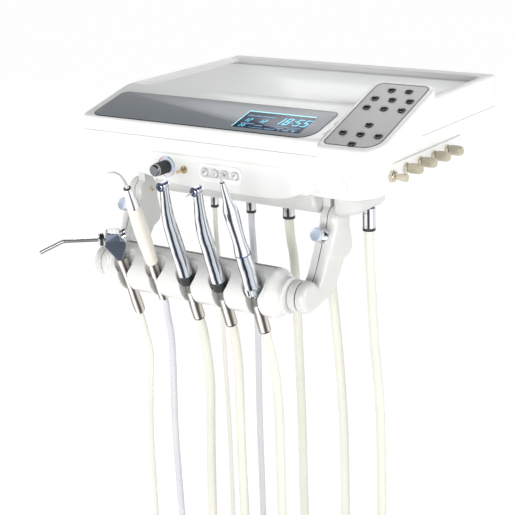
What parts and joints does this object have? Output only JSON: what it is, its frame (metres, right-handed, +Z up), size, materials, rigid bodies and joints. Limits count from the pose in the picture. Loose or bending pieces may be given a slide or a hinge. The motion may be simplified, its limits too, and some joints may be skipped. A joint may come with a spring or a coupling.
{
  "type": "dental delivery unit",
  "caption": "Arm-mounted dental control head with a tray top, keypad pod, air and water valves, and a tilting bar that holds handpieces on long hoses.",
  "frame": {"origin": "centre of the support arm's socket, on the lower face of its boss", "axes": "+Z up, +Y to the back of the unit, +X to the right as seen by the user in front"},
  "size_m": [0.401, 0.4508, 0.8376],
  "materials": {
    "white_body": "satin moulded plastic",
    "panel_grey": "printed overlay, satin",
    "display": "backlit blue display behind a clear window",
    "plate_grey": "brushed grey plate",
    "key_metal": "metallised domed key",
    "plate_white": "gloss white",
    "fitting_metal": "polished plated metal",
    "block_metal": "machined",
    "knob_black": "black knurled knob with a silver cap",
    "toggle_brass": "satin",
    "valve_beige": "fluted beige plastic",
    "button_blue": "pale blue-grey, satin",
    "bar_white": "glossy moulded plastic",
    "steel": "polished metal",
    "chrome": "polished metal",
    "grip_ivory": "ivory, satin",
    "hose_cream": "smooth soft tube",
    "hose_grey": "smooth soft tube",
    "hose_white": "smooth soft tube"
  },
  "bodies": {
    "root": {"top_cover": "white_body", "base_pan": "white_body", "lower_housing": "white_body", "hose_block": "white_body", "front_panel": "panel_grey", "display_window": "display", "pod_shell": "white_body", "keypad_plate": "plate_grey", "adjuster_plate": "plate_white", "left_arm_shells": "bar_white", "right_arm_shells": "bar_white", "metal_fittings": "fitting_metal", "control_block": "block_metal", "syringe_hose": "hose_white", "scaler_hose": "hose_grey", "turbine_1_hose": "hose_cream", "turbine_2_hose": "hose_cream", "low_speed_hose": "hose_cream"},
    "bar": {"holder_bar": "bar_white"},
    "syringe": {"syringe_handle": "chrome"},
    "syringe_nozzle": {"syringe_nozzle": "chrome"},
    "syringe_left_button": {"syringe_left_button": "chrome"},
    "syringe_right_button": {"syringe_right_button": "chrome"},
    "scaler": {"scaler_grip": "grip_ivory", "scaler_tip": "steel", "scaler_tail": "chrome"},
    "turbine_1": {"turbine_1_handpiece": "steel", "turbine_1_tail": "chrome"},
    "turbine_2": {"turbine_2_handpiece": "steel", "turbine_2_tail": "chrome"},
    "turbine_2_bur": {"turbine_2_bur": "steel"},
    "low_speed": {"low_speed_cone": "steel", "low_speed_motor": "steel"},
    "low_speed_bur": {"low_speed_bur": "steel"},
    "pressure_knob": {"pressure_knob": "knob_black"},
    "front_toggle": {"front_toggle": "toggle_brass"},
    "side_toggle": {"side_toggle": "valve_beige"},
    "left_brake_button": {"left_brake_button": "button_blue"},
    "right_brake_button": {"right_brake_button": "button_blue"},
    "needle_valve_1": {"needle_valve_1": "valve_beige"},
    "adjuster_1": {"adjuster_1": "fitting_metal"},
    "needle_valve_2": {"needle_valve_2": "valve_beige"},
    "adjuster_2": {"adjuster_2": "fitting_metal"},
    "needle_valve_3": {"needle_valve_3": "valve_beige"},
    "adjuster_3": {"adjuster_3": "fitting_metal"},
    "needle_valve_4": {"needle_valve_4": "valve_beige"},
    "adjuster_4": {"adjuster_4": "fitting_metal"},
    "key_1": {"key_1": "key_metal"},
    "key_2": {"key_2": "key_metal"},
    "key_3": {"key_3": "key_metal"},
    "key_4": {"key_4": "key_metal"},
    "key_5": {"key_5": "key_metal"},
    "key_6": {"key_6": "key_metal"},
    "key_7": {"key_7": "key_metal"},
    "key_8": {"key_8": "key_metal"},
    "key_9": {"key_9": "key_metal"},
    "key_10": {"key_10": "key_metal"},
    "key_11": {"key_11": "key_metal"},
    "key_12": {"key_12": "key_metal"},
    "key_13": {"key_13": "key_metal"}
  },
  "joints": [
    {"name": "bar_tilt", "type": "hinge", "parent": "root", "child": "bar", "pos_m": [0, -0.1885, -0.086], "axis": [1, 0, 0], "range_deg": [-20, 15], "deforming": ["syringe_hose", "scaler_hose", "turbine_1_hose", "turbine_2_hose", "low_speed_hose"]},
    {"name": "syringe_lift", "type": "slide", "parent": "bar", "child": "syringe", "axis": [0, -0.342, 0.9397], "range_m": [0, 0.15], "deforming": ["syringe_hose"]},
    {"name": "scaler_lift", "type": "slide", "parent": "bar", "child": "scaler", "axis": [0, -0.342, 0.9397], "range_m": [0, 0.15], "deforming": ["scaler_hose"]},
    {"name": "turbine_1_lift", "type": "slide", "parent": "bar", "child": "turbine_1", "axis": [0, -0.342, 0.9397], "range_m": [0, 0.15], "deforming": ["turbine_1_hose"]},
    {"name": "turbine_2_lift", "type": "slide", "parent": "bar", "child": "turbine_2", "axis": [0, -0.342, 0.9397], "range_m": [0, 0.15], "deforming": ["turbine_2_hose"]},
    {"name": "low_speed_lift", "type": "slide", "parent": "bar", "child": "low_speed", "axis": [0, -0.342, 0.9397], "range_m": [0, 0.15], "deforming": ["low_speed_hose"]},
    {"name": "nozzle_turn", "type": "hinge", "parent": "syringe", "child": "syringe_nozzle", "pos_m": [-0.09705, -0.23533, -0.04339], "axis": [-0.7399, -0.672, 0.0309], "range_deg": [-180, 180]},
    {"name": "syringe_left_button_press", "type": "slide", "parent": "syringe", "child": "syringe_left_button", "axis": [-0.7103, -0.4319, -0.5559], "range_m": [0, 0.002], "stiffness_N_per_m": 600, "springref_m": -0.001},
    {"name": "syringe_right_button_press", "type": "slide", "parent": "syringe", "child": "syringe_right_button", "axis": [-0.7103, -0.4319, -0.5559], "range_m": [0, 0.002], "stiffness_N_per_m": 600, "springref_m": -0.001},
    {"name": "turbine_2_bur_spin", "type": "hinge", "parent": "turbine_2", "child": "turbine_2_bur", "pos_m": [0.0443, -0.24545, 0.0324], "axis": [0, -0.9962, -0.0872], "continuous": true},
    {"name": "low_speed_bur_spin", "type": "hinge", "parent": "low_speed", "child": "low_speed_bur", "pos_m": [0.0886, -0.26088, 0.04756], "axis": [0, -0.342, 0.9397], "continuous": true},
    {"name": "pressure_knob_turn", "type": "hinge", "parent": "root", "child": "pressure_knob", "pos_m": [-0.0675, -0.17, 0.026], "axis": [0, -1, 0], "range_deg": [-135, 135]},
    {"name": "front_toggle_flip", "type": "hinge", "parent": "root", "child": "front_toggle", "pos_m": [-0.0425, -0.158, 0.025], "axis": [1, 0, 0], "range_deg": [-18, 18]},
    {"name": "side_toggle_flip", "type": "hinge", "parent": "root", "child": "side_toggle", "pos_m": [0.192, -0.095, 0.03], "axis": [0, 1, 0], "range_deg": [-18, 18]},
    {"name": "left_brake_press", "type": "slide", "parent": "root", "child": "left_brake_button", "axis": [0, 0.9272, -0.3746], "range_m": [0, 0.004], "stiffness_N_per_m": 800, "springref_m": -0.001},
    {"name": "right_brake_press", "type": "slide", "parent": "root", "child": "right_brake_button", "axis": [0, 0.9272, -0.3746], "range_m": [0, 0.004], "stiffness_N_per_m": 800, "springref_m": -0.001},
    {"name": "needle_valve_1_turn", "type": "hinge", "parent": "root", "child": "needle_valve_1", "pos_m": [0.195, -0.0635, 0.0324], "axis": [1, 0, 0], "range_deg": [-720, 0]},
    {"name": "needle_valve_2_turn", "type": "hinge", "parent": "root", "child": "needle_valve_2", "pos_m": [0.195, -0.0316, 0.0324], "axis": [1, 0, 0], "range_deg": [-720, 0]},
    {"name": "needle_valve_3_turn", "type": "hinge", "parent": "root", "child": "needle_valve_3", "pos_m": [0.195, 0.0003, 0.0324], "axis": [1, 0, 0], "range_deg": [-720, 0]},
    {"name": "needle_valve_4_turn", "type": "hinge", "parent": "root", "child": "needle_valve_4", "pos_m": [0.195, 0.0322, 0.0324], "axis": [1, 0, 0], "range_deg": [-720, 0]},
    {"name": "adjuster_1_turn", "type": "hinge", "parent": "root", "child": "adjuster_1", "pos_m": [-0.0132, -0.156, 0.0255], "axis": [0, -1, 0], "range_deg": [-540, 540]},
    {"name": "adjuster_2_turn", "type": "hinge", "parent": "root", "child": "adjuster_2", "pos_m": [0.0004, -0.156, 0.0255], "axis": [0, -1, 0], "range_deg": [-540, 540]},
    {"name": "adjuster_3_turn", "type": "hinge", "parent": "root", "child": "adjuster_3", "pos_m": [0.014, -0.156, 0.0255], "axis": [0, -1, 0], "range_deg": [-540, 540]},
    {"name": "adjuster_4_turn", "type": "hinge", "parent": "root", "child": "adjuster_4", "pos_m": [0.0276, -0.156, 0.0255], "axis": [0, -1, 0], "range_deg": [-540, 540]},
    {"name": "key_1_press", "type": "slide", "parent": "root", "child": "key_1", "axis": [0, 0.3387, -0.9409], "range_m": [0, 0.0008], "stiffness_N_per_m": 500, "springref_m": -0.0005},
    {"name": "key_2_press", "type": "slide", "parent": "root", "child": "key_2", "axis": [0, 0.3387, -0.9409], "range_m": [0, 0.0008], "stiffness_N_per_m": 500, "springref_m": -0.0005},
    {"name": "key_3_press", "type": "slide", "parent": "root", "child": "key_3", "axis": [0, 0.3387, -0.9409], "range_m": [0, 0.0008], "stiffness_N_per_m": 500, "springref_m": -0.0005},
    {"name": "key_4_press", "type": "slide", "parent": "root", "child": "key_4", "axis": [0, 0.3387, -0.9409], "range_m": [0, 0.0008], "stiffness_N_per_m": 500, "springref_m": -0.0005},
    {"name": "key_5_press", "type": "slide", "parent": "root", "child": "key_5", "axis": [0, 0.3387, -0.9409], "range_m": [0, 0.0008], "stiffness_N_per_m": 500, "springref_m": -0.0005},
    {"name": "key_6_press", "type": "slide", "parent": "root", "child": "key_6", "axis": [0, 0.3387, -0.9409], "range_m": [0, 0.0008], "stiffness_N_per_m": 500, "springref_m": -0.0005},
    {"name": "key_7_press", "type": "slide", "parent": "root", "child": "key_7", "axis": [0, 0.3387, -0.9409], "range_m": [0, 0.0008], "stiffness_N_per_m": 500, "springref_m": -0.0005},
    {"name": "key_8_press", "type": "slide", "parent": "root", "child": "key_8", "axis": [0, 0.3387, -0.9409], "range_m": [0, 0.0008], "stiffness_N_per_m": 500, "springref_m": -0.0005},
    {"name": "key_9_press", "type": "slide", "parent": "root", "child": "key_9", "axis": [0, 0.3387, -0.9409], "range_m": [0, 0.0008], "stiffness_N_per_m": 500, "springref_m": -0.0005},
    {"name": "key_10_press", "type": "slide", "parent": "root", "child": "key_10", "axis": [0, 0.3387, -0.9409], "range_m": [0, 0.0008], "stiffness_N_per_m": 500, "springref_m": -0.0005},
    {"name": "key_11_press", "type": "slide", "parent": "root", "child": "key_11", "axis": [0, 0.3387, -0.9409], "range_m": [0, 0.0008], "stiffness_N_per_m": 500, "springref_m": -0.0005},
    {"name": "key_12_press", "type": "slide", "parent": "root", "child": "key_12", "axis": [0, 0.3387, -0.9409], "range_m": [0, 0.0008], "stiffness_N_per_m": 500, "springref_m": -0.0005},
    {"name": "key_13_press", "type": "slide", "parent": "root", "child": "key_13", "axis": [0, 0.3387, -0.9409], "range_m": [0, 0.0008], "stiffness_N_per_m": 500, "springref_m": -0.0005}
  ]
}
